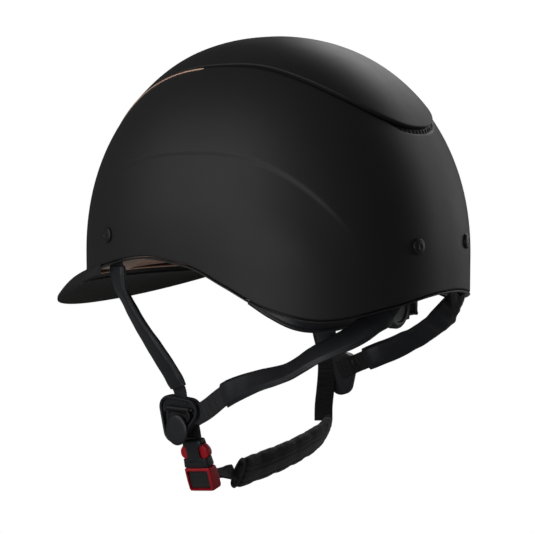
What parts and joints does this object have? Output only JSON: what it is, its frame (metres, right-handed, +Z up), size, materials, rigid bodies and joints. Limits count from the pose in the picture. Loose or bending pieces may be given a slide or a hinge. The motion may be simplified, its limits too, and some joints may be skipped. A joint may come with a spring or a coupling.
{
  "type": "equestrian riding helmet",
  "caption": "Riding helmet with a peak, raised centre panel, foam liner, four-point strap harness, side-release buckle, padded chin strap and nape dial.",
  "frame": {"origin": "middle of the head opening at brow height, on the helmet's middle plane", "axes": "+Z up, -Y where the wearer faces, +X the wearer's left"},
  "size_m": [0.2244, 0.3102, 0.3196],
  "materials": {
    "shell": "soft-touch matte black",
    "rim_edge": "satin black",
    "rose_gold": "rose gold, satin",
    "headband_leather": "nude leatherette",
    "impact_foam": "black expanded foam beads",
    "comfort_fabric": "black brushed knit",
    "peak_fabric": "dark brown-grey fabric",
    "strap_leather": "blue-black leatherette",
    "webbing": "ribbed black webbing",
    "black_plastic": "satin black",
    "red_plastic": "red, satin",
    "steel": "bare",
    "chin_fabric": "quilted black mesh fabric",
    "grey_nylon": "dark grey"
  },
  "bodies": {
    "helmet": {"outer_shell": "shell", "crown_panel": "shell", "rear_vent_grille": "black_plastic", "accent_left": "rose_gold", "accent_right": "rose_gold", "rim_trim": "rim_edge", "impact_liner": "impact_foam", "comfort_liner": "comfort_fabric", "headband_front": "headband_leather", "headband_rear": "headband_leather", "peak": "shell", "peak_lining": "peak_fabric", "brow_trim": "rose_gold", "strap_keeper": "black_plastic", "buckle_socket": "black_plastic", "webbing_to_socket": "webbing", "chin_webbing_near": "webbing", "chin_webbing_far": "webbing", "chin_pad": "chin_fabric", "rivet_front_left": "rim_edge", "washer_front_left": "steel", "webbing_front_left": "webbing", "sleeve_front_left": "strap_leather", "rivet_front_right": "rim_edge", "washer_front_right": "steel", "webbing_front_right": "webbing", "sleeve_front_right": "strap_leather", "rivet_rear_left": "rim_edge", "washer_rear_left": "steel", "webbing_rear_left": "webbing", "sleeve_rear_left": "strap_leather", "rivet_rear_right": "rim_edge", "washer_rear_right": "steel", "webbing_rear_right": "webbing", "sleeve_rear_right": "strap_leather", "divider_body_left": "black_plastic", "divider_pin_left": "steel", "divider_body_right": "black_plastic", "divider_pin_right": "steel"},
    "dial": {"dial_knob": "black_plastic", "dial_pinion": "grey_nylon"},
    "left_rack": {"left_rack": "grey_nylon"},
    "right_rack": {"right_rack": "grey_nylon"},
    "nape_cradle": {"dial_case": "black_plastic", "cradle_arm_left": "black_plastic", "cradle_arm_right": "black_plastic", "nape_pad": "chin_fabric"},
    "lever_left": {"divider_lever_left": "shell"},
    "lever_right": {"divider_lever_right": "shell"},
    "buckle_plug": {"buckle_plug": "red_plastic"},
    "prong_front": {"release_prong_front": "red_plastic"},
    "prong_rear": {"release_prong_rear": "red_plastic"}
  },
  "joints": [
    {"name": "cradle_tilt", "type": "hinge", "parent": "helmet", "child": "nape_cradle", "pos_m": [0, 0.038, -0.005], "axis": [1, 0, 0], "range_deg": [-6, 5]},
    {"name": "dial_turn", "type": "hinge", "parent": "nape_cradle", "child": "dial", "pos_m": [0, 0.089, -0.019], "axis": [0, 1, 0], "range_deg": [-135, 135]},
    {"name": "left_rack_slide", "type": "slide", "parent": "nape_cradle", "child": "left_rack", "axis": [1, 0, 0], "range_m": [-0.00945, 0.00945]},
    {"name": "right_rack_slide", "type": "slide", "parent": "nape_cradle", "child": "right_rack", "axis": [-1, 0, 0], "range_m": [-0.00945, 0.00945]},
    {"name": "lever_left_flip", "type": "hinge", "parent": "helmet", "child": "lever_left", "pos_m": [0.0791, -0.027, -0.0895], "axis": [0, -1, 0], "range_deg": [0, 75]},
    {"name": "lever_right_flip", "type": "hinge", "parent": "helmet", "child": "lever_right", "pos_m": [-0.0939, -0.004, -0.0775], "axis": [0, 1, 0], "range_deg": [0, 75]},
    {"name": "plug_release", "type": "slide", "parent": "helmet", "child": "buckle_plug", "axis": [-0.184, 0.131, -0.9741], "range_m": [0, 0.02], "deforming": ["release_prong_front", "release_prong_rear", "chin_webbing_near"]},
    {"name": "prong_rear_squeeze", "type": "hinge", "parent": "buckle_plug", "child": "prong_rear", "pos_m": [0.06468, -0.01419, -0.12939], "axis": [0.9829, 0.0245, -0.1824], "range_deg": [0, 14], "stiffness_Nm_per_rad": 0.02},
    {"name": "prong_front_squeeze", "type": "hinge", "parent": "buckle_plug", "child": "prong_front", "pos_m": [0.06468, -0.02668, -0.13107], "axis": [-0.9829, -0.0245, 0.1824], "range_deg": [0, 14], "stiffness_Nm_per_rad": 0.02}
  ],
  "couplings": [
    {"joint": "left_rack_slide", "follows": "dial_turn", "m_per_rad": 0.004},
    {"joint": "right_rack_slide", "follows": "dial_turn", "m_per_rad": 0.004},
    {"joint": "prong_front_squeeze", "follows": "prong_rear_squeeze", "ratio": 1}
  ]
}
